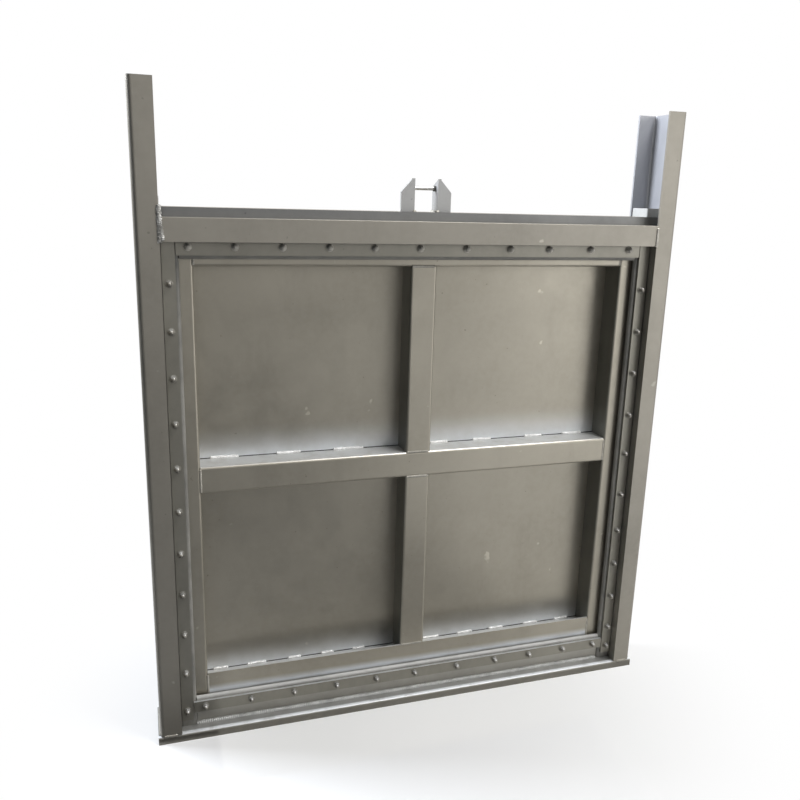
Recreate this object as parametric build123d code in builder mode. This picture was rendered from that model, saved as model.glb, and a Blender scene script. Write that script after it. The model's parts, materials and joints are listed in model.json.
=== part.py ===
from build123d import *
import os

os.makedirs("parts", exist_ok=True)

# Driving sizes of the frame, in millimetres
frame_width = 1400.0
frame_depth = 140.0
frame_height = 1633.0
sill_height = 22.0
sill_overhang = 4.5
sill_plate = 5.0
sill_bend = 7.0
rail_plate = 6.0
rail_bend = 12.0
front_flange = 55.0
rear_flange = 56.0
rail_above_beam = 293.0
beam_height = 54.0
beam_plate = 5.0
beam_edge = 1.0

# Seat, seal and strip, set back behind the front flange
strip_setback = 27.0
strip_width = 30.0
strip_plate = 6.0
strip_end_gap = 2.0
seal_tail = 6.0
seal_cover = 6.5
seal_slack = 0.5
seat_plate = 4.0
seat_bend = 6.0
seat_margin = 2.0
seat_above_beam = 22.0
bottom_strip_lift = 40.0
strip_below_beam = 32.0
side_strip_foot = 20.0

# Leaf
leaf_front = 54.0
running_gap = 5.0
skin_thickness = 6.0
skin_side_gap = 8.0
member_plate = 5.0
member_bend = 6.5
member_width = 70.0
edge_member_inset = 58.0
bottom_member_height = 133.0
bottom_ledge_drop = 33.0
rib_height_share = 0.506
head_below_beam = 59.0
leaf_above_beam = 22.0

# Lifting lug
lug_gap = 61.0
lug_plate = 8.0
lug_height = 81.0
lug_depth = 42.0
lug_width = 132.0
lug_setback = 3.0
lug_slope = 18.0
lug_corner = 6.0
gusset_drop = 3.0
gusset_toe = 48.0
pin_diameter = 10.0
pin_drop = 23.0
pin_tail = 18.0
pin_head_diameter = 17.0
pin_head_height = 7.0
pin_fit = 0.2

# Guide shoes
shoe_height = 90.0
shoe_corner = 4.0
shoe_rise = 23.0
shoe_lift = 60.0

# Places worked out from the sizes
half_width = frame_width / 2
front_y = -frame_depth / 2
rear_y = front_y + frame_depth
beam_top = frame_height - rail_above_beam
beam_bottom = beam_top - beam_height
flange_inner_x = half_width - front_flange
rail_inner_x = half_width - rail_plate
rear_flange_x = half_width - rear_flange
flange_rear_y = front_y + rail_plate
rear_flange_y = rear_y - rail_plate
strip_front_y = front_y + strip_setback
tail_front_y = strip_front_y + strip_plate
seat_front_y = tail_front_y + seal_tail
seat_rear_y = seat_front_y + seat_plate
seat_back_x = flange_inner_x + seat_plate
strip_outer_x = flange_inner_x - seat_margin
strip_inner_x = strip_outer_x - strip_width
leaf_front_y = front_y + leaf_front
leaf_rear_y = rear_flange_y - running_gap
skin_front_y = leaf_rear_y - skin_thickness
member_depth = skin_front_y - leaf_front_y
bulb_front_y = tail_front_y + seal_slack
bulb_radius = (leaf_front_y - running_gap - bulb_front_y) / 2
bulb_y = bulb_front_y + bulb_radius
bulb_offset = bulb_radius - seal_cover
bulb_x = strip_inner_x - bulb_offset
bulb_inner_x = bulb_x - bulb_radius
seat_inner_x = strip_inner_x + seal_cover + seal_slack
cross_half = bulb_inner_x - seal_slack
bottom_strip_foot = sill_height + bottom_strip_lift
bottom_strip_top = bottom_strip_foot + strip_width
bottom_bulb_z = bottom_strip_top + bulb_offset
bottom_seat_top = bottom_strip_top - seal_cover - seal_slack
top_strip_bottom = beam_bottom - strip_below_beam
seat_bar_top = beam_top + seat_above_beam
top_bulb_z = top_strip_bottom - bulb_offset
top_seat_bottom = top_strip_bottom + seal_cover + seal_slack
top_strip_top = top_strip_bottom + strip_width
side_strip_bottom = sill_height + side_strip_foot
skin_half_width = rail_inner_x - skin_side_gap
edge_outer_x = half_width - edge_member_inset
edge_inner_x = edge_outer_x - member_width
edge_centre_x = (edge_outer_x + edge_inner_x) / 2
bottom_member_top = sill_height + bottom_member_height
bottom_ledge = bottom_member_top - bottom_ledge_drop
head_member_bottom = beam_bottom - head_below_beam
leaf_top = beam_top + leaf_above_beam
cap_bottom = leaf_top - member_plate
rib_z = bottom_member_top + rib_height_share * (head_member_bottom - bottom_member_top)
rib_bottom = rib_z - member_width / 2
rib_top = rib_z + member_width / 2
ear_inner_x = lug_gap / 2
ear_outer_x = ear_inner_x + lug_plate
ear_front_y = leaf_front_y + lug_setback
ear_y = ear_front_y + lug_depth / 2
lug_top = leaf_top + lug_height
pin_z = lug_top - pin_drop
shoe_outer_x = rail_inner_x - running_gap
shoe_inner_x = edge_outer_x
upper_shoe_top = leaf_top + shoe_rise
lower_shoe_top = sill_height + shoe_lift + shoe_height


def keep(part, label):
    """Names a piece and writes it out."""
    part.label = label
    export_step(part, "parts/" + label + ".step")


def box(label, low, high):
    """A plain bar between two opposite corners."""
    with BuildPart() as bar:
        with BuildSketch(Plane.XY.offset(low[2])):
            with Locations(((low[0] + high[0]) / 2, (low[1] + high[1]) / 2)):
                Rectangle(abs(high[0] - low[0]), high[1] - low[1])
        extrude(amount=high[2] - low[2])
    keep(bar.part, label)


def folded(label, plane, points, bends, length, notch=None):
    """A folded plate: its outline on a plane, rounded at the bends, drawn out to a length.

    A notch, given as its width, depth and height, is cut from the front of the first end.
    """
    with BuildPart() as plate:
        with BuildSketch(plane) as outline:
            with BuildLine():
                Polyline(*points, close=True)
            make_face()
            for place, radius in bends:
                corner = outline.vertices().sort_by_distance(Vector(*place))[0]
                fillet(corner, radius)
        extrude(amount=length)
        if notch:
            with BuildSketch(plane):
                with Locations((0, notch[1] / 2)):
                    Rectangle(notch[0], notch[1])
            extrude(amount=notch[2], mode=Mode.SUBTRACT)
    keep(plate.part, label)


def channel(label, plane, width, length, notch=None):
    """A member of the leaf: its back at the front, its legs welded to the skin."""
    half = width / 2
    wall = half - member_plate
    points = [
        (-half, 0), (half, 0), (half, member_depth), (wall, member_depth),
        (wall, member_plate), (-wall, member_plate), (-wall, member_depth), (-half, member_depth),
    ]
    inner = member_bend - member_plate
    bends = [
        ((-half, 0), member_bend), ((half, 0), member_bend),
        ((-wall, member_plate), inner), ((wall, member_plate), inner),
    ]
    folded(label, plane, points, bends, length, notch)


# Rails: folded channels that stand on the sill, open side inward
for side, label in ((-1, "left_rail"), (1, "right_rail")):
    points = [
        (side * flange_inner_x, front_y), (side * half_width, front_y),
        (side * half_width, rear_y), (side * rear_flange_x, rear_y),
        (side * rear_flange_x, rear_flange_y), (side * rail_inner_x, rear_flange_y),
        (side * rail_inner_x, flange_rear_y), (side * flange_inner_x, flange_rear_y),
    ]
    bends = [
        ((side * half_width, front_y), rail_bend), ((side * half_width, rear_y), rail_bend),
        ((side * rail_inner_x, rear_flange_y), rail_bend - rail_plate),
        ((side * rail_inner_x, flange_rear_y), rail_bend - rail_plate),
    ]
    folded(label, Plane.XY.offset(sill_height), points, bends, frame_height - sill_height)

# Sill: a folded channel on its two legs, a little longer than the frame is wide
across = Plane((-half_width - sill_overhang, 0, 0), x_dir=(0, 1, 0), z_dir=(1, 0, 0))
sill_points = [
    (front_y, 0), (front_y, sill_height), (rear_y, sill_height), (rear_y, 0),
    (rear_y - sill_plate, 0), (rear_y - sill_plate, sill_height - sill_plate),
    (front_y + sill_plate, sill_height - sill_plate), (front_y + sill_plate, 0),
]
sill_inner = sill_bend - sill_plate
sill_bends = [
    ((front_y, sill_height), sill_bend),
    ((rear_y, sill_height), sill_bend),
    ((rear_y - sill_plate, sill_height - sill_plate), sill_inner),
    ((front_y + sill_plate, sill_height - sill_plate), sill_inner),
]
folded("sill", across, sill_points, sill_bends, frame_width + 2 * sill_overhang)

# Top beam: a square angle between the front flanges, its upper leg back to the seat bar
beam_plane = Plane((-flange_inner_x, 0, 0), x_dir=(0, 1, 0), z_dir=(1, 0, 0))
beam_points = [
    (front_y, beam_bottom), (front_y, beam_top), (seat_front_y, beam_top),
    (seat_front_y, beam_top - beam_plate), (front_y + beam_plate, beam_top - beam_plate),
    (front_y + beam_plate, beam_bottom),
]
beam_bends = [((front_y, beam_top), beam_edge)]
folded("top_beam", beam_plane, beam_points, beam_bends, 2 * flange_inner_x)

# Side seat angles: one leg welded behind the flange's edge, the other inward under the seal
for side, label in ((-1, "left_seat_angle"), (1, "right_seat_angle")):
    points = [
        (side * flange_inner_x, flange_rear_y), (side * seat_back_x, flange_rear_y),
        (side * seat_back_x, seat_rear_y), (side * seat_inner_x, seat_rear_y),
        (side * seat_inner_x, seat_front_y), (side * flange_inner_x, seat_front_y),
    ]
    bends = [
        ((side * seat_back_x, seat_rear_y), seat_bend),
        ((side * flange_inner_x, seat_front_y), seat_bend - seat_plate),
    ]
    folded(label, Plane.XY.offset(sill_height), points, bends, beam_bottom - sill_height)

# Bottom seat bar stands on the sill, and the top one runs from rail to rail behind the beam and stands above it
box("bottom_seat_bar", (-cross_half, seat_front_y, sill_height), (cross_half, seat_rear_y, bottom_seat_top))
hang = Plane((0, seat_front_y, 0), x_dir=(1, 0, 0), z_dir=(0, 1, 0))
with BuildPart() as top_seat_bar:
    with BuildSketch(hang):
        with Locations((0, -(beam_bottom + seat_bar_top) / 2)):
            Rectangle(2 * rail_inner_x, seat_bar_top - beam_bottom)
        with Locations((0, -(top_seat_bottom + beam_bottom) / 2)):
            Rectangle(2 * cross_half, beam_bottom - top_seat_bottom)
    extrude(amount=seat_plate)
keep(top_seat_bar.part, "top_seat_bar")

# Seals: a flat tail under the strip and a round bulb towards the leaf
for side, label in ((-1, "left_seal"), (1, "right_seal")):
    with BuildPart() as side_seal:
        with BuildSketch(Plane.XY.offset(sill_height)):
            with Locations((side * (strip_outer_x + bulb_x) / 2, tail_front_y + seal_tail / 2)):
                Rectangle(strip_outer_x - bulb_x, seal_tail)
            with Locations((side * bulb_x, bulb_y)):
                Circle(bulb_radius)
        extrude(amount=beam_bottom - sill_height)
    keep(side_seal.part, label)

seal_plane = Plane((-cross_half, 0, 0), x_dir=(0, 1, 0), z_dir=(1, 0, 0))
cross_seals = (
    ("bottom_seal", bottom_strip_foot, bottom_bulb_z),
    ("top_seal", top_strip_top, top_bulb_z),
)
for label, tail_end, bulb_z in cross_seals:
    with BuildPart() as cross_seal:
        with BuildSketch(seal_plane):
            with Locations((tail_front_y + seal_tail / 2, (tail_end + bulb_z) / 2)):
                Rectangle(seal_tail, abs(tail_end - bulb_z))
            with Locations((bulb_y, bulb_z)):
                Circle(bulb_radius)
        extrude(amount=2 * cross_half)
    keep(cross_seal.part, label)

# Strips: flat bars that clamp the tails, the cross ones between the side ones
for side, label in ((-1, "left_strip"), (1, "right_strip")):
    ends = sorted((side * strip_outer_x, side * strip_inner_x))
    box(label, (ends[0], strip_front_y, side_strip_bottom), (ends[1], tail_front_y, beam_bottom))
strip_half = strip_inner_x - strip_end_gap
for label, low, high in (
    ("bottom_strip", bottom_strip_foot, bottom_strip_top),
    ("top_strip", top_strip_bottom, top_strip_top),
):
    box(label, (-strip_half, strip_front_y, low), (strip_half, tail_front_y, high))

# Leaf: the skin at the rear and folded members on its front
box("skin_plate", (-skin_half_width, skin_front_y, sill_height), (skin_half_width, leaf_rear_y, leaf_top))

for side, label in ((-1, "left_edge_channel"), (1, "right_edge_channel")):
    foot = Plane((side * edge_centre_x, leaf_front_y, sill_height), x_dir=(1, 0, 0), z_dir=(0, 0, 1))
    channel(label, foot, member_width, cap_bottom - sill_height)

# Caps close the edge channels at the top, level with the head channel
for side, label in ((-1, "left_edge_cap"), (1, "right_edge_cap")):
    ends = sorted((side * edge_outer_x, side * edge_inner_x))
    box(label, (ends[0], leaf_front_y, cap_bottom), (ends[1], skin_front_y, leaf_top))

for label, low, high in (
    ("head_channel", head_member_bottom, leaf_top),
    ("horizontal_rib", rib_bottom, rib_top),
):
    end = Plane((-edge_inner_x, leaf_front_y, (low + high) / 2), x_dir=(0, 0, -1), z_dir=(1, 0, 0))
    channel(label, end, high - low, 2 * edge_inner_x)

# Bottom member: its front stands up above the ledge that meets the skin
face_rear_y = leaf_front_y + member_plate
bottom_points = [
    (leaf_front_y, sill_height), (leaf_front_y, bottom_member_top),
    (face_rear_y, bottom_member_top), (face_rear_y, bottom_ledge),
    (skin_front_y, bottom_ledge), (skin_front_y, bottom_ledge - member_plate),
    (face_rear_y, bottom_ledge - member_plate), (face_rear_y, sill_height + member_plate),
    (skin_front_y, sill_height + member_plate), (skin_front_y, sill_height),
]
bottom_bends = [((leaf_front_y, sill_height), member_bend)]
bottom_plane = Plane((-edge_inner_x, 0, 0), x_dir=(0, 1, 0), z_dir=(1, 0, 0))
folded("bottom_channel", bottom_plane, bottom_points, bottom_bends, 2 * edge_inner_x)

# Upright ribs: the lower one is notched over the upstand and stands on the ledge
upstand_notch = (member_width, member_plate, bottom_ledge_drop)
for label, low, high, notch in (
    ("lower_rib", bottom_ledge, rib_bottom, upstand_notch),
    ("upper_rib", rib_top, head_member_bottom, None),
):
    foot = Plane((0, leaf_front_y, low), x_dir=(1, 0, 0), z_dir=(0, 0, 1))
    channel(label, foot, member_width, high - low, notch)

# Lifting lug: two ears, a gusset outside each at its front edge, and a headed pin through both
for side, label in ((-1, "left_ear"), (1, "right_ear")):
    face = Plane((side * (ear_inner_x + ear_outer_x) / 2, ear_y, leaf_top), x_dir=(0, 1, 0), z_dir=(1, 0, 0))
    with BuildPart() as ear:
        with BuildSketch(face) as ear_outline:
            with BuildLine():
                Polyline(
                    (-lug_depth / 2, 0), (lug_depth / 2, 0), (lug_depth / 2, lug_height - lug_slope),
                    (-lug_depth / 2, lug_height), close=True,
                )
            make_face()
            rear_corner = ear_outline.vertices().sort_by_distance((lug_depth / 2, lug_height - lug_slope))[0]
            fillet(rear_corner, lug_corner)
            with Locations((0, lug_height - pin_drop)):
                Circle((pin_diameter + pin_fit) / 2, mode=Mode.SUBTRACT)
        extrude(amount=lug_plate / 2, both=True)
    keep(ear.part, label)

gusset_plane = Plane((0, ear_front_y + lug_plate, leaf_top), x_dir=(1, 0, 0), z_dir=(0, -1, 0))
for side, label in ((-1, "left_gusset"), (1, "right_gusset")):
    with BuildPart() as gusset:
        with BuildSketch(gusset_plane):
            with BuildLine():
                Polyline(
                    (side * ear_outer_x, 0), (side * lug_width / 2, 0), (side * lug_width / 2, gusset_toe),
                    (side * ear_outer_x, lug_height - gusset_drop), close=True,
                )
            make_face()
        extrude(amount=lug_plate)
    keep(gusset.part, label)

pin_plane = Plane((-ear_outer_x, ear_y, pin_z), x_dir=(0, 1, 0), z_dir=(1, 0, 0))
with BuildPart() as lug_pin:
    with BuildSketch(pin_plane):
        Circle(pin_diameter / 2)
    extrude(amount=2 * ear_outer_x + pin_tail)
    with BuildSketch(pin_plane):
        Circle(pin_head_diameter / 2)
    extrude(amount=-pin_head_height)
keep(lug_pin.part, "lug_pin")

# Guide shoes: blocks against the edge channels and the skin that run inside the rails
for side, hand in ((-1, "left"), (1, "right")):
    for top, level in ((upper_shoe_top, "upper"), (lower_shoe_top, "lower")):
        with BuildPart() as shoe:
            with BuildSketch(Plane.XY.offset(top - shoe_height)) as shoe_outline:
                with Locations((side * (shoe_outer_x + shoe_inner_x) / 2, (leaf_front_y + skin_front_y) / 2)):
                    Rectangle(shoe_outer_x - shoe_inner_x, member_depth)
                fillet(shoe_outline.vertices().group_by(Axis.Y)[0], shoe_corner)
            extrude(amount=shoe_height)
        keep(shoe.part, hand + "_" + level + "_shoe")
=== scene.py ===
# %% [markdown]
# # A sluice gate, from imported solids to a picture
# The solids of the gate come from the imported model, each already in its place. This lesson adds what a
# solid model leaves out: the nuts along the seal strips, the weld beads, the nut on the lifting pin, and
# above all the look of blasted stainless steel. The model is loaded first.

# %% Load the imported gate
import json
import math
import random

import bpy
from mathutils import Matrix, Vector


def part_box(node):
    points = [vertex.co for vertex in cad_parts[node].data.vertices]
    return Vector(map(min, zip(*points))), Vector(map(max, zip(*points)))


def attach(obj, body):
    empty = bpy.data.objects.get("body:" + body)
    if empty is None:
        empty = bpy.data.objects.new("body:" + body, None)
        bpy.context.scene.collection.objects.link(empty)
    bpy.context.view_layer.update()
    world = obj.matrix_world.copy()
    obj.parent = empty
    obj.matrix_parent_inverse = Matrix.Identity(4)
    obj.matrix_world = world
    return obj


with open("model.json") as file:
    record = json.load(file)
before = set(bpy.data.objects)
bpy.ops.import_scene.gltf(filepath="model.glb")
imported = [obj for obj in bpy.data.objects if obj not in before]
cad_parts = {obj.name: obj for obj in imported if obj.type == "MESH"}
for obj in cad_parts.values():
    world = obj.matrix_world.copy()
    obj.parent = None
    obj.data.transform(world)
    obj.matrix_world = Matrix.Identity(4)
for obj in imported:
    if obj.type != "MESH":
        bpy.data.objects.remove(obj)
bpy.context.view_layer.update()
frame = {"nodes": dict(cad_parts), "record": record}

mm = 0.001
nodes = frame["nodes"]

# %% [markdown]
# ## Camera
# The photographer stood in front of the left rail and a little above the middle of the gate. A camera
# can be aimed with a Track To constraint, but a hand-held one is also rolled a little, so three turns are
# given instead: the heading, the pitch and the roll, in that order, from the place where the lens was.

# %% Camera
camera_place = Vector((-0.6871, -1.9548, 1.3954))
heading, pitch, roll = math.radians(18.04), math.radians(-14.20), math.radians(1.588)
image_side = 800
focal_pixels = 799.2
quarter_turn = math.pi / 2

camera_data = bpy.data.cameras.new("gate_camera")
camera_data.sensor_width = 36.0
camera_data.lens = camera_data.sensor_width * focal_pixels / image_side
camera_data.clip_start, camera_data.clip_end = 0.05, 100.0
camera = bpy.data.objects.new("gate_camera", camera_data)
scene = bpy.context.scene
scene.collection.objects.link(camera)
camera.matrix_world = (
    Matrix.Translation(camera_place)
    @ Matrix.Rotation(-heading, 4, "Z")
    @ Matrix.Rotation(quarter_turn + pitch, 4, "X")
    @ Matrix.Rotation(roll, 4, "Z")
)
scene.camera = camera
print("camera lens", round(camera_data.lens, 2), "mm")

# %% [markdown]
# ## Background and light
# The gate stands in front of plain white. The world is white to the camera and in reflections, and only
# a soft grey as a light, so the background costs the steel no contrast. Three area lamps do the rest: a
# wide one overhead, which lights every ledge, a tall one at the front right, which leaves the walls that
# face left in shade, and one behind, which lights the inside of the rails and the lug. The one overhead
# hangs high, so that the raised leaf does not come close to it and turn white.

# %% World
sky_tint, sky_strength = (0.95, 0.97, 1.0, 1.0), 0.12
pure_white = (1.0, 1.0, 1.0, 1.0)

scene.view_settings.view_transform = "Standard"
world = bpy.data.worlds.new("white_studio")
scene.world = world
world.use_nodes = True
sky = world.node_tree
sky_light = sky.nodes["Background"]
sky_light.inputs["Color"].default_value = sky_tint
sky_light.inputs["Strength"].default_value = sky_strength
sky_white = sky.nodes.new("ShaderNodeBackground")
sky_white.inputs["Color"].default_value = pure_white
rays = sky.nodes.new("ShaderNodeLightPath")
seen = rays.outputs["Is Camera Ray"]
for kind in ("Is Glossy Ray", "Is Transmission Ray"):
    either = sky.nodes.new("ShaderNodeMath")
    either.operation = "MAXIMUM"
    sky.links.new(seen, either.inputs[0])
    sky.links.new(rays.outputs[kind], either.inputs[1])
    seen = either.outputs[0]
sky_mix = sky.nodes.new("ShaderNodeMixShader")
sky.links.new(seen, sky_mix.inputs["Fac"])
sky.links.new(sky_light.outputs[0], sky_mix.inputs[1])
sky.links.new(sky_white.outputs[0], sky_mix.inputs[2])
sky.links.new(sky_mix.outputs[0], sky.nodes["World Output"].inputs["Surface"])
print("world: white to the eye, soft grey as a light")

# %% Lamps
def softbox(name, place, target, width, height, power, colour=(1.0, 1.0, 1.0)):
    """An area lamp at a place, aimed at a target."""
    lamp = bpy.data.lights.new(name, "AREA")
    lamp.shape = "RECTANGLE"
    lamp.size, lamp.size_y = width, height
    lamp.energy = power
    lamp.color = colour
    holder = bpy.data.objects.new(name, lamp)
    scene.collection.objects.link(holder)
    holder.location = place
    holder.visible_camera = False
    aim = Vector(target) - Vector(place)
    holder.rotation_euler = aim.to_track_quat("-Z", "Y").to_euler()


softbox(
    "overhead_softbox", place=(1.65, -1.25, 4.55), target=(0.0, 0.1, 0.5), width=2.1, height=1.2, power=178.0
)
softbox("right_softbox", place=(2.4, -2.3, 1.2), target=(0.2, 0.0, 0.7), width=2.0, height=2.2, power=20.0)
softbox(
    "rear_softbox", place=(-1.7, 0.8, 2.5), target=(0.6, 0.0, 1.5), width=1.0, height=1.0, power=105.0,
    colour=(0.86, 0.91, 1.0),
)

# %% [markdown]
# ## Floor and dark cards
# Bare steel shows what stands around it. In a white room it would look white, so a studio sets dark cards
# where the steel should turn dark, which the camera does not see: here a wide one flat on the floor in
# front, a small one beside the left foot, and a black one standing on the left. The floor is a pale sheet
# that keeps the gate's shadow and fades to white.

# %% Floor
floor_side = 24.0
floor_colour, floor_roughness = (0.88, 0.88, 0.875, 1.0), 0.9
fade_start, fade_end = 0.3, 1.1


def clear_selection():
    """Leaves edit mode and deselects everything, so an operator acts on the new piece alone."""
    if bpy.context.object and bpy.context.object.mode != "OBJECT":
        bpy.ops.object.mode_set(mode="OBJECT")
    bpy.ops.object.select_all(action="DESELECT")


clear_selection()
bpy.ops.mesh.primitive_plane_add(size=floor_side, location=(0.0, 0.0, 0.0))
floor = bpy.context.object
floor.name = "studio_floor"
floor_paint = bpy.data.materials.new("pale_floor")
floor_paint.use_nodes = True
tree = floor_paint.node_tree
matte = tree.nodes["Principled BSDF"]
matte.inputs["Base Color"].default_value = floor_colour
matte.inputs["Roughness"].default_value = floor_roughness
coordinates = tree.nodes.new("ShaderNodeTexCoord")
distance = tree.nodes.new("ShaderNodeVectorMath")
distance.operation = "LENGTH"
fade = tree.nodes.new("ShaderNodeMapRange")
fade.interpolation_type = "SMOOTHSTEP"
fade.inputs["From Min"].default_value = fade_start
fade.inputs["From Max"].default_value = fade_end
rays = tree.nodes.new("ShaderNodeLightPath")
faded = tree.nodes.new("ShaderNodeMath")
faded.operation = "MULTIPLY"
white = tree.nodes.new("ShaderNodeEmission")
floor_mix = tree.nodes.new("ShaderNodeMixShader")
tree.links.new(coordinates.outputs["Object"], distance.inputs[0])
tree.links.new(distance.outputs["Value"], fade.inputs["Value"])
tree.links.new(fade.outputs["Result"], faded.inputs[0])
tree.links.new(rays.outputs["Is Camera Ray"], faded.inputs[1])
tree.links.new(faded.outputs[0], floor_mix.inputs["Fac"])
tree.links.new(matte.outputs[0], floor_mix.inputs[1])
tree.links.new(white.outputs[0], floor_mix.inputs[2])
tree.links.new(floor_mix.outputs[0], tree.nodes["Material Output"].inputs["Surface"])
floor.data.materials.append(floor_paint)
print("floor", tuple(floor.dimensions))

# %% Dark cards
lying = (0.0, 0.0, 0.0)
facing_right = (0.0, quarter_turn, 0.0)


def dark_card(name, shade, place, turn, width, height):
    """A dark sheet that the camera does not see, but the steel does."""
    paint = bpy.data.materials.new(name)
    paint.use_nodes = True
    shader = paint.node_tree.nodes["Principled BSDF"]
    shader.inputs["Base Color"].default_value = shade + (1.0,)
    shader.inputs["Roughness"].default_value = 1.0
    clear_selection()
    bpy.ops.mesh.primitive_plane_add(size=1.0, location=place, rotation=turn)
    sheet = bpy.context.object
    sheet.name = name
    sheet.scale = (width, height, 1.0)
    sheet.data.materials.append(paint)
    sheet.visible_camera = False
    sheet.visible_shadow = False


dark_card(
    "floor_card", shade=(0.23, 0.23, 0.23), place=(-2.775, -4.63, 0.004), turn=lying, width=6.45, height=8.74
)
dark_card(
    "foot_card", shade=(0.06, 0.06, 0.06), place=(-1.0, -0.167, 0.004), turn=lying, width=0.9, height=0.185
)
dark_card(
    "left_card", shade=(0.02, 0.035, 0.045), place=(-2.4, -2.0, 1.6), turn=facing_right, width=3.2, height=4.2
)
print("dark cards on the floor in front, at the left foot and on the left")

# %% [markdown]
# ## Steel
# The gate is fabricated from stainless plate and blasted with glass beads afterwards, which leaves an even,
# slightly cloudy satin. One recipe makes every steel on it: a warm grey that drifts in soft clouds, a fine
# grain that breaks the gloss up, a few smudges from handling, and small dark specks. The patterns are drawn
# on Object coordinates, which for these solids are metres in the gate's own frame, so they run on from one
# plate to the next and stay put when the gate is moved.

# %% Pattern helpers
def finish_tree(name):
    """A new material with its node tree and its main shader."""
    material = bpy.data.materials.new(name)
    material.use_nodes = True
    return material, material.node_tree, material.node_tree.nodes["Principled BSDF"]


def parts_of(tree, kind, output):
    """The X, Y and Z of a vector that a new node of some kind gives out."""
    source = tree.nodes.new(kind)
    split = tree.nodes.new("ShaderNodeSeparateXYZ")
    tree.links.new(source.outputs[output], split.inputs["Vector"])
    return split.outputs


def pattern(tree, scale, detail=3.0, rough=0.5, stretch=(1.0, 1.0, 1.0), shift=(0.0, 0.0, 0.0)):
    """Noise on Object coordinates: scale is in cells a metre."""
    coordinates = tree.nodes.new("ShaderNodeTexCoord")
    mapping = tree.nodes.new("ShaderNodeMapping")
    mapping.inputs["Scale"].default_value = stretch
    mapping.inputs["Location"].default_value = shift
    noise = tree.nodes.new("ShaderNodeTexNoise")
    noise.inputs["Scale"].default_value = scale
    noise.inputs["Detail"].default_value = detail
    noise.inputs["Roughness"].default_value = rough
    tree.links.new(coordinates.outputs["Object"], mapping.inputs["Vector"])
    tree.links.new(mapping.outputs["Vector"], noise.inputs["Vector"])
    return noise.outputs["Fac"]


def spread(tree, value, old_range, new_range=(0.0, 1.0)):
    """Stretches a part of a value's range over a new range."""
    node = tree.nodes.new("ShaderNodeMapRange")
    node.inputs["From Min"].default_value, node.inputs["From Max"].default_value = old_range
    node.inputs["To Min"].default_value, node.inputs["To Max"].default_value = new_range
    tree.links.new(value, node.inputs["Value"])
    return node.outputs["Result"]


def tint(tree, factor, first, second):
    """Mixes two colours, each a colour or a link, by a pattern."""
    node = tree.nodes.new("ShaderNodeMix")
    node.data_type = "RGBA"
    for name, colour in (("A", first), ("B", second)):
        socket = next(s for s in node.inputs if s.name == name and s.type == "RGBA")
        if isinstance(colour, tuple):
            socket.default_value = colour + (1.0,)
        else:
            tree.links.new(colour, socket)
    tree.links.new(factor, node.inputs["Factor"])
    return next(s for s in node.outputs if s.type == "RGBA")


def combine(tree, operation, first, *others):
    """Values put together one after the other by a Math node."""
    total = first
    for value in others:
        node = tree.nodes.new("ShaderNodeMath")
        node.operation = operation
        tree.links.new(total, node.inputs[0])
        tree.links.new(value, node.inputs[1])
        total = node.outputs[0]
    return total


def grain_bump(tree, shader, layers):
    """Stacks bump layers, each a pattern with a strength and a depth, and gives them to the shader."""
    normal = None
    for value, strength, depth in layers:
        bump = tree.nodes.new("ShaderNodeBump")
        bump.inputs["Strength"].default_value = strength
        bump.inputs["Distance"].default_value = depth
        tree.links.new(value, bump.inputs["Height"])
        if normal is not None:
            tree.links.new(normal, bump.inputs["Normal"])
        normal = bump.outputs["Normal"]
    tree.links.new(normal, shader.inputs["Normal"])


print("pattern helpers ready")

# %% [markdown]
# ### Where the colour changes: dust and painted light
# Some of the look depends on where a spot lies and which way it faces. What faces up is painted pale, partly
# blasting dust and partly painted light from above; on the sill it lies mostly on the front lip. The walls just
# above a ledge get a painted glow, the light that the lit ledge throws back. Walls that face left are painted
# darker: painted shade. The inside of the rails is painted a bright bluish grey, a painted reflection of the
# bright surroundings. Each function here gives a value from 0 to about 1 that a colour can be mixed by.

# %% Dust and painted light, painted shade and painted reflection
dust_and_light_heights = (1.15, 1.30)
rail_depths = (-0.062, -0.058)
lip_blur = 2 * mm


def dust_and_top_light(tree, amount, flattest=0.55):
    """How much pale dust and painted light from above lie on a spot: where it faces up, below the beam, and in
    patches.
    """
    facing = parts_of(tree, "ShaderNodeNewGeometry", "Normal")
    place = parts_of(tree, "ShaderNodeTexCoord", "Object")
    level = spread(tree, facing["Z"], (flattest, 0.95), (0.0, amount))
    patches = spread(tree, pattern(tree, scale=26.0, detail=5.0, rough=0.65), (0.28, 0.52), (0.62, 1.0))
    low = spread(tree, place["Z"], dust_and_light_heights, (1.0, 0.0))
    return combine(tree, "MULTIPLY", level, patches, low)


def glow_and_dust_band(tree, ledges, reach, amount, below=2 * mm):
    """How pale a wall's front is painted: most just above each ledge, and none above its reach. Above the
    skin's ledges this is painted glow, light thrown back by the lit ledge.
    """
    place = parts_of(tree, "ShaderNodeTexCoord", "Object")
    facing = parts_of(tree, "ShaderNodeNewGeometry", "Normal")
    front = spread(tree, facing["Y"], (-0.9, -0.5), (1.0, 0.0))
    patches = spread(tree, pattern(tree, scale=11.0, detail=4.0, rough=0.6), (0.3, 0.7), (0.75, 1.15))
    uneven = combine(tree, "MULTIPLY", patches, front)
    bands = []
    for ledge in ledges:
        thick = spread(tree, place["Z"], (ledge, ledge + reach), (amount, 0.0))
        fading = spread(tree, place["Z"], (ledge, ledge + reach), (1.0, 0.0))
        start = spread(tree, place["Z"], (ledge - below, ledge))
        bands.append(combine(tree, "MULTIPLY", thick, fading, start, uneven))
    return combine(tree, "ADD", *bands)


def painted_left_shade(tree, amount):
    """How far a wall faces left, in the gate's own frame: these walls are given painted shade."""
    facing = parts_of(tree, "ShaderNodeTexCoord", "Normal")
    return spread(tree, facing["X"], (-0.95, -0.6), (amount, 0.0))


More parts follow.
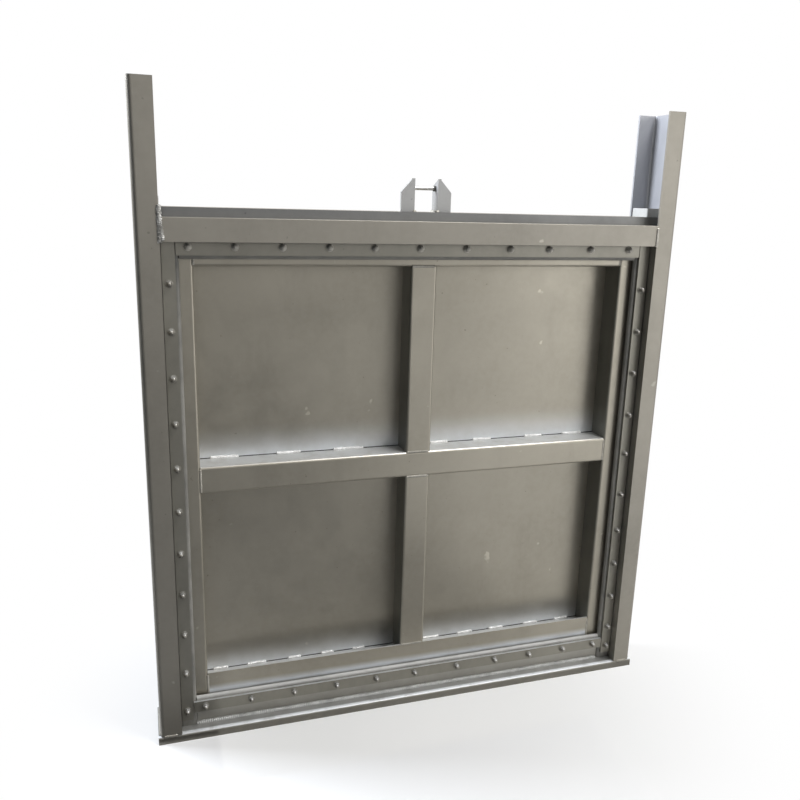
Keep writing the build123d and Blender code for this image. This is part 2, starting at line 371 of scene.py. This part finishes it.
def painted_reflection_inside(tree, amount):
    """How far a spot lies inside a rail: behind the front flange, and facing neither out nor to the rear."""
    place = parts_of(tree, "ShaderNodeTexCoord", "Object")
    facing = parts_of(tree, "ShaderNodeTexCoord", "Normal")
    deep = spread(tree, place["Y"], rail_depths, (0.0, amount))
    not_rear = spread(tree, facing["Y"], (0.3, 0.6), (1.0, 0.0))
    outward = combine(tree, "MULTIPLY", place["X"], facing["X"])
    not_out = spread(tree, outward, (0.1, 0.3), (1.0, 0.0))
    return combine(tree, "MULTIPLY", deep, not_rear, not_out)


def lip_dust_and_light(tree, depth):
    """Most of the dust and painted light lies on the front lip, out to a depth, where nothing stands over it to
    shade it.
    """
    place = parts_of(tree, "ShaderNodeTexCoord", "Object")
    return spread(tree, place["Y"], (depth - lip_blur, depth + lip_blur), (1.0, 0.25))


# The pale colour on what faces up is dust and painted light from above, both up to this height.
print("dust from the floor up to", dust_and_light_heights[1], "m")

# %% [markdown]
# ### The recipe and its steels
# The recipe goes from the large to the small: clouds, mottle, smears, dark specks and pale spots, then the
# painted shade, the painted reflection inside the rails, and the dust with its painted light and glow. Dust is
# no metal, so where it or its painted light lies the shader turns from metal to matte.

# %% Blasted steel
# The thin pale colour is dust and painted light on what faces up. The thick one is the painted glow above the
# ledges, the dust and painted light on the sill's lip, and the pale band above the bottom seal.
thin_dust_and_top_light, thick_dust_and_glow = (0.66, 0.685, 0.71), (0.80, 0.825, 0.85)
painted_wall_shade = (0.10, 0.115, 0.12)
painted_sky_reflection = (0.46, 0.467, 0.492)
smudge_strength, dust_and_light_metal = 0.15, 0.05
ledge_glow_reach = 90 * mm
pale_band_reach, pale_band_amount, pale_band_below = 20 * mm, 1.25, 14 * mm


def scaled(colour, factor):
    """A colour made darker or lighter, and no lighter than white."""
    return tuple(min(1.0, c * factor) for c in colour)


def mottled_grey(tree, dark, light):
    """A grey in clouds and mottle, with smears, dark specks and pale spots."""
    clouds = spread(tree, pattern(tree, scale=3.5, detail=4.0, rough=0.55), (0.25, 0.75))
    mottle = spread(tree, pattern(tree, scale=55.0, detail=3.0, rough=0.6), (0.35, 0.65), (0.0, 0.35))
    long_noise = pattern(tree, scale=9.0, detail=5.0, rough=0.7, stretch=(1.0, 1.0, 0.35))
    smears = spread(tree, long_noise, (0.56, 0.74), (0.0, smudge_strength))
    specks = spread(tree, pattern(tree, scale=90.0, detail=1.0, rough=0.4), (0.78, 0.82), (0.0, 0.4))
    spot_noise = pattern(tree, scale=24.0, detail=2.0, rough=0.5, shift=(3.1, 0.0, 7.7))
    spots = spread(tree, spot_noise, (0.745, 0.785), (0.0, 0.5))
    colour = tint(tree, clouds, dark, light)
    colour = tint(tree, mottle, colour, light)
    colour = tint(tree, smears, colour, scaled(dark, 0.55))
    colour = tint(tree, specks, colour, scaled(dark, 0.35))
    return tint(tree, spots, colour, scaled(light, 1.7))


def blasted_steel(
    name, dark, light, rough, dust_and_light=0.6, metal=0.75, ledges=(), shade=0.0, sky_reflection=0.0, lip=None, pale_band=None
):
    """Bead-blasted stainless plate between a darker and a lighter grey."""
    material, tree, shader = finish_tree(name)
    colour = mottled_grey(tree, dark, light)
    # Painted shade: walls that face left are mixed towards a dark bluish grey.
    if shade:
        colour = tint(tree, painted_left_shade(tree, shade), colour, painted_wall_shade)
    # Painted reflection: the inside of the rails is mixed towards a bright bluish grey.
    if sky_reflection:
        colour = tint(tree, painted_reflection_inside(tree, sky_reflection), colour, painted_sky_reflection)
    # Dust and painted light from above on what faces up; on the skin, the painted glow above the ledges
    # instead.
    dusty_and_lit = glow_and_dust_band(tree, ledges, ledge_glow_reach, dust_and_light) if ledges else dust_and_top_light(tree, dust_and_light)
    # Dust and painted light kept mostly to the sill's front lip.
    if lip is not None:
        dusty_and_lit = combine(tree, "MULTIPLY", dusty_and_lit, lip_dust_and_light(tree, lip))
    colour = tint(tree, dusty_and_lit, colour, thick_dust_and_glow if ledges or lip is not None else thin_dust_and_top_light)
    # A pale band just above a given height, here the top of the bottom seal.
    if pale_band is not None:
        pale_line = glow_and_dust_band(tree, (pale_band,), pale_band_reach, pale_band_amount, pale_band_below)
        colour = tint(tree, pale_line, colour, thick_dust_and_glow)
        dusty_and_lit = combine(tree, "ADD", dusty_and_lit, pale_line)
    tree.links.new(colour, shader.inputs["Base Color"])
    tree.links.new(spread(tree, dusty_and_lit, (0.0, 1.0), (metal, dust_and_light_metal)), shader.inputs["Metallic"])
    gloss = pattern(tree, scale=16.0, detail=5.0, rough=0.65)
    tree.links.new(spread(tree, gloss, (0.3, 0.7), (rough - 0.04, rough + 0.06)), shader.inputs["Roughness"])
    waves = pattern(tree, scale=7.0, detail=2.0, rough=0.5)
    grain = pattern(tree, scale=900.0, detail=2.0, rough=0.6)
    grain_bump(tree, shader, [(waves, 0.09, 4 * mm), (grain, 0.12, 0.4 * mm)])
    return material


print("steel recipe ready")

# %% The steels of the gate
ledge_heights = (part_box("lower_rib")[0].z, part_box("horizontal_rib")[1].z)
seal_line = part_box("bottom_seal")[1].z + 2 * mm
sill_lip = -58 * mm
rail_greys = ((0.25, 0.233, 0.198), (0.32, 0.298, 0.255))
leaf_greys = ((0.305, 0.282, 0.232), (0.378, 0.35, 0.292))
leaf_look = {"rough": 0.36, "metal": 0.8}
# shade puts painted shade on the members' walls that face left.
member_look = {"dust_and_light": 0.62, "shade": 0.55, **leaf_look}
recipes = {
    # The rails get the painted reflection inside.
    "rail_steel": (*rail_greys, {"rough": 0.42, "metal": 0.55, "sky_reflection": 1.0}),
    "beam_steel": (*rail_greys, {"rough": 0.42, "metal": 0.55}),
    "seat_steel": ((0.29, 0.28, 0.25), (0.38, 0.365, 0.33), {"rough": 0.42}),
    # The sill's dust and painted light lie mostly on its front lip.
    "foot_steel": (
        (0.14, 0.132, 0.112), (0.19, 0.18, 0.152), {"rough": 0.45, "dust_and_light": 0.95, "metal": 0.55, "lip": sill_lip}
    ),
    # A darker steel for the seat bar above the beam: painted shade.
    "shaded_band_steel": ((0.15, 0.15, 0.147), (0.21, 0.21, 0.205), {"rough": 0.42}),
    "strip_steel": ((0.21, 0.20, 0.17), (0.275, 0.262, 0.224), {"rough": 0.40}),
    "leaf_steel": (*leaf_greys, member_look),
    # A pale band just above the bottom seal.
    "bottom_member_steel": (*leaf_greys, {"pale_band": seal_line, **member_look}),
    # On the skin, painted glow just above each ledge: light thrown back by the lit ledge.
    "skin_steel": (*leaf_greys, {"dust_and_light": 1.0, "ledges": ledge_heights, **leaf_look}),
    "lug_steel": ((0.34, 0.337, 0.33), (0.42, 0.417, 0.408), {"rough": 0.45, "metal": 0.5}),
    "pin_steel": ((0.40, 0.39, 0.37), (0.55, 0.54, 0.52), {"rough": 0.30}),
    "dull_nut_steel": ((0.50, 0.475, 0.42), (0.58, 0.552, 0.49), {"rough": 0.85, "metal": 0.0}),
    "nut_steel": ((0.19, 0.18, 0.155), (0.28, 0.265, 0.235), {"rough": 0.33}),
}
finishes = {name: blasted_steel(name, dark, light, **look) for name, (dark, light, look) in recipes.items()}
print("steels:", sorted(finishes))

# %% [markdown]
# ## Rubber and polymer
# The seals are moulded rubber, worn grey, with dust and painted light from above where they face up. The
# guide shoes are a pale slippery polymer, sawn from plate, so they show fine saw lines and a soft bloom instead
# of a gloss.

# %% Seal rubber and shoe polymer
rubber_dark, rubber_worn, rubber_dust_and_light = (0.17, 0.165, 0.15), (0.30, 0.29, 0.262), (0.72, 0.72, 0.71)
polymer_dark, polymer_light = (0.52, 0.52, 0.50), (0.64, 0.64, 0.62)

rubber, tree, shader = finish_tree("seal_rubber")
wear = spread(tree, pattern(tree, scale=12.0, detail=4.0, rough=0.6), (0.35, 0.7))
worn = tint(tree, wear, rubber_dark, rubber_worn)
# Dust and painted light from above on the rubber's upper faces.
dusty_and_lit = dust_and_top_light(tree, amount=0.6, flattest=0.15)
tree.links.new(tint(tree, dusty_and_lit, worn, rubber_dust_and_light), shader.inputs["Base Color"])
tree.links.new(spread(tree, wear, (0.0, 1.0), (0.45, 0.75)), shader.inputs["Roughness"])
grain_bump(tree, shader, [(pattern(tree, scale=500.0, detail=2.0), 0.2, 0.5 * mm)])
finishes["seal_rubber"] = rubber

polymer, tree, shader = finish_tree("shoe_polymer")
bloom = spread(tree, pattern(tree, scale=20.0, detail=4.0, rough=0.6), (0.3, 0.7))
tree.links.new(tint(tree, bloom, polymer_dark, polymer_light), shader.inputs["Base Color"])
tree.links.new(spread(tree, bloom, (0.0, 1.0), (0.4, 0.6)), shader.inputs["Roughness"])
saw_lines = pattern(tree, scale=260.0, detail=2.0, rough=0.5, stretch=(0.1, 1.0, 1.0))
grain_bump(tree, shader, [(saw_lines, 0.3, 0.6 * mm)])
finishes["shoe_polymer"] = polymer
print("rubber and polymer ready")

# %% [markdown]
# ## Dress the solids
# The record names a material slot for each solid, and a finish of the same name goes on it. Five solids look
# different from the rest of their slot, such as the sill with dust and painted light on its lip, and have a
# finish of their own.

# %% Dress the solids
slots = {row["node"]: row["material_slot"] for row in frame["record"]["subparts"]}
own_finish = {
    "skin_plate": "skin_steel",
    "top_seat_bar": "shaded_band_steel",
    "sill": "foot_steel",
    "top_beam": "beam_steel",
    "bottom_channel": "bottom_member_steel",
}
for name, solid in nodes.items():
    material = finishes[own_finish.get(name, slots[name])]
    for place in solid.material_slots:
        place.material = material
print("dressed", len(slots), "solids")

# %% [markdown]
# ## Cap nuts
# Along every strip the seal is clamped by cap nuts on washers. A cap nut is a hexagon with a dome on it,
# so it is modelled as by hand: a six-sided cylinder gets its edges bevelled, a ball is cut in half for the
# dome, a thin disc with a rounded rim is the washer, and the three are joined. The one nut is then copied
# along each strip, and turned a little differently each time, as a spanner leaves it.

# %% Places on the frame
frame_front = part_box("left_rail")[0].y
strip_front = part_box("bottom_strip")[0].y
leaf_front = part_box("horizontal_rib")[0].y
skin_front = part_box("skin_plate")[0].y
print("depths:", [round(v, 4) for v in (frame_front, strip_front, leaf_front, skin_front)])

# %% One cap nut
round_sides, hexagon_sides = 28, 6
washer_radius, washer_thickness, washer_bevel = 9.5 * mm, 1.8 * mm, 0.4 * mm
nut_radius, nut_height, nut_bevel = 8.2 * mm, 6.0 * mm, 0.6 * mm
dome_radius, dome_sink = 6.4 * mm, 0.2 * mm
smooth_angle = 40.0


def make_active(pieces):
    """Selects pieces alone and makes the first one active."""
    clear_selection()
    for piece in pieces:
        piece.select_set(True)
    bpy.context.view_layer.objects.active = pieces[0]


def edit_all(piece):
    """Opens a piece for editing with all of it selected."""
    make_active([piece])
    bpy.ops.object.mode_set(mode="EDIT")
    bpy.ops.mesh.select_all(action="SELECT")


def disc(name, sides, radius, height, foot, bevel):
    """A cylinder standing on a height, with its edges bevelled."""
    clear_selection()
    bpy.ops.mesh.primitive_cylinder_add(
        vertices=sides, radius=radius, depth=height, location=(0.0, 0.0, foot + height / 2)
    )
    piece = bpy.context.object
    piece.name = name
    bpy.ops.object.transform_apply(location=True, rotation=True, scale=True)
    edit_all(piece)
    bpy.ops.mesh.bevel(offset=bevel, segments=2, affect="EDGES")
    bpy.ops.object.mode_set(mode="OBJECT")
    return piece


def joined(pieces, name, angle=smooth_angle):
    """Joins pieces into one, at the origin, smooth but for its sharp edges."""
    make_active(pieces)
    if len(pieces) > 1:
        bpy.ops.object.join()
    whole = bpy.context.object
    whole.name = name
    whole.data.name = name
    bpy.ops.object.transform_apply(location=True, rotation=True, scale=True)
    bpy.ops.object.shade_smooth_by_angle(angle=math.radians(angle))
    return whole


def paint(piece, finish):
    """Gives a piece one finish and no other."""
    piece.data.materials.clear()
    piece.data.materials.append(finish)


washer = disc("washer", round_sides, washer_radius, washer_thickness, 0.0, washer_bevel)
hexagon = disc("hexagon", hexagon_sides, nut_radius, nut_height, washer_thickness, nut_bevel)
clear_selection()
dome_foot = washer_thickness + nut_height
bpy.ops.mesh.primitive_uv_sphere_add(
    segments=20, ring_count=12, radius=dome_radius, location=(0.0, 0.0, dome_foot)
)
dome = bpy.context.object
bpy.ops.object.transform_apply(location=True, rotation=True, scale=True)
edit_all(dome)
bpy.ops.mesh.bisect(
    plane_co=(0.0, 0.0, dome_foot - dome_sink), plane_no=(0.0, 0.0, 1.0), clear_inner=True, use_fill=True
)
bpy.ops.object.mode_set(mode="OBJECT")
cap_nut = joined([washer, hexagon, dome], "cap_nut")
print("cap nut faces:", len(cap_nut.data.polygons))

# %% [markdown]
# ### Rows of nuts
# Eleven nuts sit on each strip. The left row is even. The fitter of the other three measured less well: the
# right row lists its heights, and the cross rows list how far each nut lies from its even place, all in mm.

# %% Rows of cap nuts
random.seed(41)
towards_viewer = Matrix.Rotation(quarter_turn, 4, "X")
one_flat = math.pi / 3


def copied(source, placement):
    """A copy with a mesh of its own, set down by a matrix."""
    piece = source.copy()
    piece.data = source.data.copy()
    scene.collection.objects.link(piece)
    piece.matrix_world = placement
    return piece


def nut_row(name, spots, finish):
    """Cap nuts on a row of spots, as one piece on the frame."""
    row = []
    for spot in spots:
        turn = Matrix.Rotation(random.uniform(0.0, one_flat), 4, "Z")
        row.append(copied(cap_nut, Matrix.Translation(spot) @ towards_viewer @ turn))
    piece = joined(row, name)
    paint(piece, finishes[finish])
    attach(piece, "frame")


nut_count = 11
nut_inset = 34 * mm
top_nut_rise = 5 * mm
side_low, side_pitch = 70, 112
side_heights = {
    "left": [side_low + side_pitch * i for i in range(nut_count)],
    "right": [65, 130, 234, 342, 449, 563, 690, 806, 929, 1048, 1165],
}
cross_shifts = {
    "bottom": [-5, 0, 1, 4, 4, 2, 15, 21, 17, 15, 3],
    "top": [-7, -16, -20, -22, -24, -21, -12, -6, -9, -2, 0],
}
for side, heights in side_heights.items():
    low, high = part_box(side + "_strip")
    x = (low.x + high.x) / 2
    nut_row(side + "_strip_nuts", [Vector((x, strip_front, height * mm)) for height in heights], "nut_steel")
for level, shifts in cross_shifts.items():
    low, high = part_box(level + "_strip")
    z = (low.z + high.z) / 2 + (top_nut_rise if level == "top" else 0.0)
    start = low.x + nut_inset
    nut_pitch = (high.x - low.x - 2 * nut_inset) / (nut_count - 1)
    nut_row(
        level + "_strip_nuts",
        [Vector((start + nut_pitch * i + shift * mm, strip_front, z)) for i, shift in enumerate(shifts)],
        "dull_nut_steel" if level == "top" else "nut_steel",
    )
bpy.data.objects.remove(cap_nut)
print("nut rows:", len(side_heights) + len(cross_shifts), "of", nut_count)

# %% [markdown]
# ## Nut and collars on the pin
# The lifting pin is held by a hexagon nut outside the right ear. Inside the ears it carries two short
# collars that keep an eye in the middle: a steel one on the left and a dark rubber one on the right.

# %% Pin nut and collars
pin_low, pin_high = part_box("lug_pin")
ear_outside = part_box("right_ear")[1].x
ear_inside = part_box("right_ear")[0].x
pin_line = Vector((0.0, (pin_low.y + pin_high.y) / 2, (pin_low.z + pin_high.z) / 2))
along_pin = Matrix.Rotation(quarter_turn, 4, "Y")
pin_washer_radius, pin_washer_thickness, pin_washer_bevel = 10 * mm, 2 * mm, 0.5 * mm
pin_nut_radius, pin_nut_height, pin_nut_bevel = 9.2 * mm, 8 * mm, 0.7 * mm
collar_radius, collar_length, collar_bevel = 7 * mm, 6 * mm, 1.2 * mm

pin_washer = disc("pin_washer", round_sides, pin_washer_radius, pin_washer_thickness, 0.0, pin_washer_bevel)
pin_hexagon = disc(
    "pin_hexagon", hexagon_sides, pin_nut_radius, pin_nut_height, pin_washer_thickness, pin_nut_bevel
)
pin_pieces = [(joined([pin_washer, pin_hexagon], "pin_nut"), ear_outside, "pin_steel")]
for name, start, slot in (
    ("right_pin_collar", ear_inside - collar_length, "seal_rubber"),
    ("left_pin_collar", -ear_inside, "pin_steel"),
):
    collar = disc(name, round_sides, collar_radius, collar_length, 0.0, collar_bevel)
    pin_pieces.append((collar, start, slot))
for piece, start, slot in pin_pieces:
    piece.matrix_world = Matrix.Translation(pin_line + Vector((start, 0.0, 0.0))) @ along_pin
    make_active([piece])
    bpy.ops.object.transform_apply(location=True, rotation=True, scale=True)
    bpy.ops.object.shade_smooth_by_angle(angle=math.radians(smooth_angle))
    paint(piece, finishes[slot])
    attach(piece, "leaf")
print("pin nut at", tuple(round(c, 4) for c in pin_line))

# %% [markdown]
# ## Weld beads
# The plates are held by welds: short stitches where the ribs meet the skin, and full seams where members
# butt. A bead is a row of overlapping ripples, each the trace of one melted drop. One ripple is a small
# ball pressed flat along the seam, an Array modifier repeats it, and a random nudge of the points takes
# away the machine look. Half of each bead lies inside the plates, as a fillet does.

# %% Weld metal
weld_metallic = 0.5


def weld_finish(name, dull, bright, rough):
    """Weld metal between a dull and a bright grey."""
    material, tree, shader = finish_tree(name)
    heat = spread(tree, pattern(tree, scale=60.0, detail=4.0, rough=0.6), (0.3, 0.7))
    tree.links.new(tint(tree, heat, dull, bright), shader.inputs["Base Color"])
    shader.inputs["Metallic"].default_value = weld_metallic
    tree.links.new(spread(tree, heat, (0.0, 1.0), (rough + 0.1, rough - 0.08)), shader.inputs["Roughness"])
    grain_bump(tree, shader, [(pattern(tree, scale=700.0, detail=2.0), 0.2, 0.4 * mm)])
    return material


weld_metal = weld_finish("weld_metal", (0.62, 0.615, 0.60), (0.92, 0.92, 0.91), 0.42)
ground_weld = weld_finish("ground_weld", (0.30, 0.28, 0.24), (0.48, 0.46, 0.41), 0.45)
bead_metal = weld_finish("bead_metal", (0.40, 0.40, 0.385), (0.54, 0.54, 0.52), 0.5)
rough_weld = weld_finish("rough_weld", (0.12, 0.115, 0.10), (0.62, 0.61, 0.58), 0.45)
print("weld metals:", weld_metal.name, ground_weld.name, bead_metal.name, rough_weld.name)

# %% One ripple and a run of it
ripple_share = 0.62
weld_angle = 60.0
nudge_seeds = 1000
clear_selection()
bpy.ops.mesh.primitive_uv_sphere_add(segments=8, ring_count=6, radius=1.0)
ripple = bpy.context.object
edit_all(ripple)
bpy.ops.transform.resize(value=(ripple_share, 1.0, 1.0))
bpy.ops.object.mode_set(mode="OBJECT")


def weld_run(start, end, out, radius, flat=1.0, jitter=0.16):
    """A bead from a start to an end, pressed flat along the way out, its points nudged by a jitter."""
    start, end = Vector(start), Vector(end)
    along = (end - start).normalized()
    up = Vector(out).normalized()
    step = radius * ripple_share
    run = copied(ripple, Matrix.Identity(4))
    make_active([run])
    row = run.modifiers.new("ripples", "ARRAY")
    row.count = max(2, round((end - start).length / step))
    row.use_relative_offset = False
    row.use_constant_offset = True
    row.constant_offset_displace = (ripple_share, 0.0, 0.0)
    bpy.ops.object.modifier_apply(modifier=row.name)
    edit_all(run)
    bpy.ops.transform.vertex_random(offset=jitter, seed=random.randrange(nudge_seeds))
    bpy.ops.object.mode_set(mode="OBJECT")
    turn = Matrix((along, up.cross(along), up)).transposed().to_4x4()
    size = Matrix.Diagonal((radius, radius, radius * flat, 1.0))
    run.matrix_world = Matrix.Translation(start) @ turn @ size
    return run


def weld_piece(name, runs, body, finish):
    """Joins runs into one piece of weld on a body."""
    piece = joined(runs, name, weld_angle)
    paint(piece, finish)
    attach(piece, body)
    print(name, len(runs), "runs,", len(piece.data.polygons), "faces")


print("ripple faces:", len(ripple.data.polygons))

# %% [markdown]
# ### Stitches in the four pockets
# Each pocket of the leaf is closed by members on four sides. A welder sets stitches of about a finger's
# length along them, and never quite evenly, so both the length and the gap are drawn at random.

# %% Stitches
random.seed(7)
stitch_radius, side_radius = 6.2 * mm, 3.6 * mm
long_stitch, long_gap = (45 * mm, 85 * mm), (70 * mm, 115 * mm)
short_stitch, short_gap = (34 * mm, 52 * mm), (55 * mm, 82 * mm)
first_gap_share = (0.3, 0.6)


def stitches(start, end, out, lengths, gaps, radius):
    """Runs of weld with random lengths and gaps along a line."""
    start, end = Vector(start), Vector(end)
    reach = (end - start).length
    along = (end - start) / reach
    runs, at = [], random.uniform(*first_gap_share) * gaps[0]
    while True:
        length = random.uniform(*lengths)
        if at + length > reach:
            return runs
        runs.append(weld_run(start + along * at, start + along * (at + length), out, radius))
        at += length + random.uniform(*gaps)


rib_low, rib_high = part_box("horizontal_rib")
upright_low, upright_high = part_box("upper_rib")
pocket_left, pocket_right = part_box("left_edge_channel")[1].x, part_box("right_edge_channel")[0].x
bottom_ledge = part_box("lower_rib")[0].z
head_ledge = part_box("head_channel")[0].z
pocket_sides = ((pocket_left, upright_low.x), (upright_high.x, pocket_right))
ledge_runs, side_runs = [], []
for x0, x1 in pocket_sides:
    for z0, z1, length, gap in (
        (bottom_ledge, rib_low.z, short_stitch, short_gap),
        (rib_high.z, head_ledge, long_stitch, long_gap),
    ):
        ledge_runs += stitches(
            (x0, skin_front, z0), (x1, skin_front, z0), (0, -1, 1), length, gap, stitch_radius
        )
        for start, end, out in (
            ((x0, skin_front, z1), (x1, skin_front, z1), (0, -1, -1)),
            ((x0, skin_front, z0), (x0, skin_front, z1), (1, -1, 0)),
        ):
            side_runs += stitches(start, end, out, long_stitch, long_gap, side_radius)
weld_piece("ledge_stitches", ledge_runs, "leaf", weld_metal)
weld_piece("pocket_stitches", side_runs, "leaf", finishes["leaf_steel"])

# %% [markdown]
# ### Crevices along the ledges
# Between two stitches the ledge and the skin only touch, and the corner between them lies in shade: the dark
# line there is painted shade.
# A thin six-sided rod laid into the corner shows it: a cylinder as long as the pocket is divided in edit mode,
# its points are nudged so that the line wavers, and half of it lies in the plates.

# %% Crevices
crevice_sides, crevice_radius = 6, 1.7 * mm
crevice_cuts, crevice_waver = 6, 0.5 * mm
crevice_shade_dark, crevice_shade_light, crevice_shade_roughness = (0.012, 0.012, 0.012), (0.06, 0.058, 0.05), 0.85

crevices = []
for x0, x1 in pocket_sides:
    for z in (bottom_ledge, rib_high.z):
        clear_selection()
        bpy.ops.mesh.primitive_cylinder_add(
            vertices=crevice_sides, radius=crevice_radius, depth=x1 - x0, end_fill_type="TRIFAN",
            location=((x0 + x1) / 2, skin_front, z), rotation=(0.0, quarter_turn, 0.0),
        )
        rod = bpy.context.object
        bpy.ops.object.transform_apply(location=True, rotation=True, scale=True)
        edit_all(rod)
        bpy.ops.mesh.subdivide(number_cuts=crevice_cuts)
        bpy.ops.transform.vertex_random(offset=crevice_waver, seed=random.randrange(nudge_seeds))
        bpy.ops.object.mode_set(mode="OBJECT")
        crevices.append(rod)
# Painted shade: the near-black rod stands for the shade in the corner.
crevice_shade, tree, shader = finish_tree("painted_crevice_shade")
shade_mottle = spread(tree, pattern(tree, scale=40.0, detail=3.0), (0.35, 0.65))
tree.links.new(tint(tree, shade_mottle, crevice_shade_dark, crevice_shade_light), shader.inputs["Base Color"])
shader.inputs["Roughness"].default_value = crevice_shade_roughness
weld_piece("ledge_crevices", crevices, "leaf", crevice_shade)

# %% [markdown]
# ### Seams between the members
# Where the ribs butt against each other and against the edge channels, the rounded folds leave a small
# groove, and the weld fills it. The bead is pressed flat because it was ground down afterwards.

# %% Rib seams
random.seed(19)
seam_radius, seam_flat = 4.6 * mm, 0.7
groove = 2.0 * mm
inset = 5 * mm
to_front = (0, -1, 0)
seam_y = leaf_front + groove
runs = []
for member in ("horizontal_rib", "bottom_channel", "head_channel"):
    low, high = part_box(member)
    for x in (low.x, high.x):
        start, end = (x, seam_y, low.z + inset), (x, seam_y, high.z - inset)
        runs.append(weld_run(start, end, to_front, seam_radius, seam_flat))
upstand_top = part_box("bottom_channel")[1].z
for member in ("lower_rib", "upper_rib"):
    low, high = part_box(member)
    for z in (max(low.z, upstand_top), high.z):
        start, end = (low.x + inset, seam_y, z), (high.x - inset, seam_y, z)
        runs.append(weld_run(start, end, to_front, seam_radius, seam_flat))
weld_piece("rib_seams", runs, "leaf", ground_weld)

# %% [markdown]
# ### Seams of the frame
# The rails are welded to the sill on three sides, and the beam's right end has a ground seam. Its left end
# was left as it was welded: two coarse beads, one drifting beside the other and running on above the beam. A
# wide bead closes the joint between the sill and the bar that carries the bottom seal.

# %% Frame seams
beam_seam_flat = 0.6
end_radius, end_flat, end_jitter = 6.0 * mm, 0.5, 0.4
end_drift, end_over = 5 * mm, 26 * mm
rail_corner, rail_side_radius = 12 * mm, 3.6 * mm
sill_radius, sill_flat, sill_jitter = 8.5 * mm, 0.8, 0.12

beam_low, beam_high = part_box("top_beam")
sill_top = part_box("sill")[1].z
start, end = (beam_high.x, frame_front, beam_low.z), (beam_high.x, frame_front, beam_high.z - inset)
runs = [weld_run(start, end, to_front, seam_radius, beam_seam_flat)]
ends = []
for shift, low_z, high_z in (
    (0.0, beam_low.z, beam_high.z + end_over),
    (end_drift, beam_low.z + inset, beam_high.z),
):
    start, end = (beam_low.x + shift, frame_front, low_z), (beam_low.x, frame_front, high_z)
    ends.append(weld_run(start, end, to_front, end_radius, end_flat, end_jitter))
for side in ("left", "right"):
    low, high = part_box(side + "_rail")
    outer = low.x if side == "left" else high.x
    near, far = low.x + rail_corner, high.x - rail_corner
    front, rear = frame_front + groove, high.y - groove
    runs.append(weld_run((near, front, sill_top), (far, front, sill_top), (0, -1, 1), seam_radius))
    start, end = (outer, low.y + rail_corner, sill_top), (outer, high.y - rail_corner, sill_top)
    runs.append(weld_run(start, end, (0, 0, 1), rail_side_radius))
    runs.append(weld_run((near, rear, sill_top), (far, rear, sill_top), (0, 1, 1), seam_radius))
weld_piece("frame_seams", runs, "frame", ground_weld)
weld_piece("beam_end_weld", ends, "frame", rough_weld)
seat_low, seat_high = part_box("bottom_seat_bar")
start, end = (seat_low.x, seat_low.y, sill_top), (seat_high.x, seat_low.y, sill_top)
foot = weld_run(start, end, (0, -1, 1), sill_radius, sill_flat, sill_jitter)
weld_piece("sill_bead", [foot], "frame", bead_metal)

# %% [markdown]
# ### Fillets round the lug
# The ears carry the whole leaf, so their feet are welded all along both sides, and so are the gussets.

# %% Lug fillets
fillet_radius = 5.2 * mm
below_top = 12 * mm
lug_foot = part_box("left_ear")[0].z
runs = []
for side, sign in (("left", -1), ("right", 1)):
    low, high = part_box(side + "_ear")
    gusset_low, gusset_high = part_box(side + "_gusset")
    for x, way in ((low.x, -1), (high.x, 1)):
        front = gusset_high.y if way == sign else low.y
        runs.append(weld_run((x, front, lug_foot), (x, high.y, lug_foot), (way, 0, 1), fillet_radius))
    start, end = (gusset_low.x, gusset_high.y, lug_foot), (gusset_high.x, gusset_high.y, lug_foot)
    runs.append(weld_run(start, end, (0, 1, 1), fillet_radius))
    corner = gusset_high if sign < 0 else gusset_low
    start, end = (corner.x, gusset_high.y, lug_foot), (corner.x, gusset_high.y, high.z - below_top)
    runs.append(weld_run(start, end, (sign, 1, 0), fillet_radius))
weld_piece("lug_fillets", runs, "leaf", ground_weld)
bpy.data.objects.remove(ripple)
